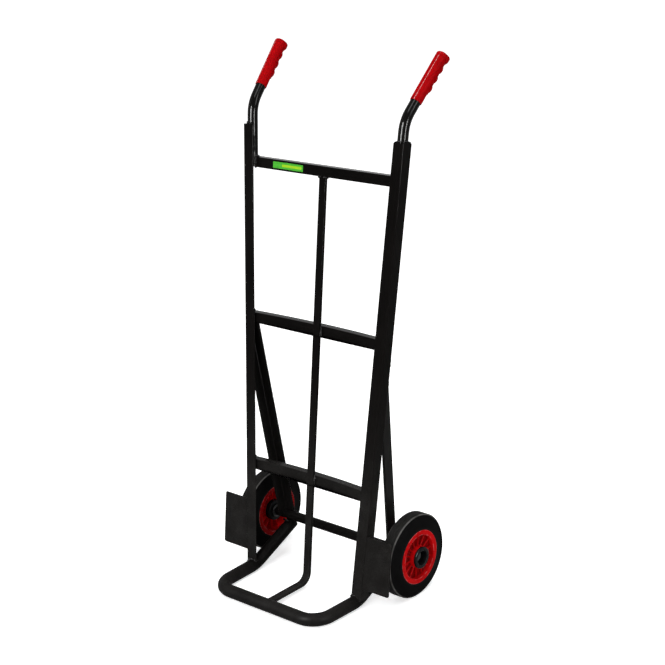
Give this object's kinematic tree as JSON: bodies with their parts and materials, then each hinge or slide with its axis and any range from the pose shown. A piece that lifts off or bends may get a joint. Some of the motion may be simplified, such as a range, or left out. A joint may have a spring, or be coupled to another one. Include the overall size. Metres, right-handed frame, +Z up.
{
  "type": "sack truck",
  "caption": "Upright two-wheeled sack truck with angle iron frame, bent tube toe, wheel guards, red grips and solid tyres on red ribbed wheel centres.",
  "frame": {"origin": "on the floor, under the middle of the truck's box as it stands on its toe and wheels", "axes": "+Z up, +Y to the rear towards the wheels and grips, +X across along the axle"},
  "size_m": [0.536, 0.447, 1.299],
  "materials": {
    "frame_paint": "semi-gloss black enamel",
    "grip_pvc": "soft satin PVC",
    "wheel_plastic": "moulded satin plastic",
    "tyre_rubber": "matt solid rubber",
    "hub_plastic": "satin black nylon",
    "axle_steel": "drawn steel",
    "zinc_steel": "zinc plated"
  },
  "bodies": {
    "frame": {"left_upright": "frame_paint", "right_upright": "frame_paint", "top_crossbar": "frame_paint", "middle_crossbar": "frame_paint", "lower_crossbar": "frame_paint", "centre_bar": "frame_paint", "toe_frame": "frame_paint", "left_handle_tube": "frame_paint", "right_handle_tube": "frame_paint", "left_grip": "grip_pvc", "right_grip": "grip_pvc", "left_upper_stay": "frame_paint", "right_upper_stay": "frame_paint", "left_wheel_guard": "frame_paint", "right_wheel_guard": "frame_paint", "axle_tube": "frame_paint", "axle": "axle_steel", "inner_washers": "zinc_steel", "outer_washers": "zinc_steel", "split_pins": "zinc_steel"},
    "left_wheel": {"left_tyre": "tyre_rubber", "left_wheel_centre": "wheel_plastic", "left_bush": "axle_steel", "left_outer_hub_ring": "hub_plastic", "left_inner_hub_ring": "hub_plastic"},
    "right_wheel": {"right_tyre": "tyre_rubber", "right_wheel_centre": "wheel_plastic", "right_bush": "axle_steel", "right_outer_hub_ring": "hub_plastic", "right_inner_hub_ring": "hub_plastic"}
  },
  "joints": [
    {"name": "left_wheel_spin", "type": "hinge", "parent": "frame", "child": "left_wheel", "pos_m": [-0.2325, 0.0705, 0.105], "axis": [1, 0, 0], "continuous": true},
    {"name": "right_wheel_spin", "type": "hinge", "parent": "frame", "child": "right_wheel", "pos_m": [0.2325, 0.0705, 0.105], "axis": [1, 0, 0], "continuous": true}
  ]
}
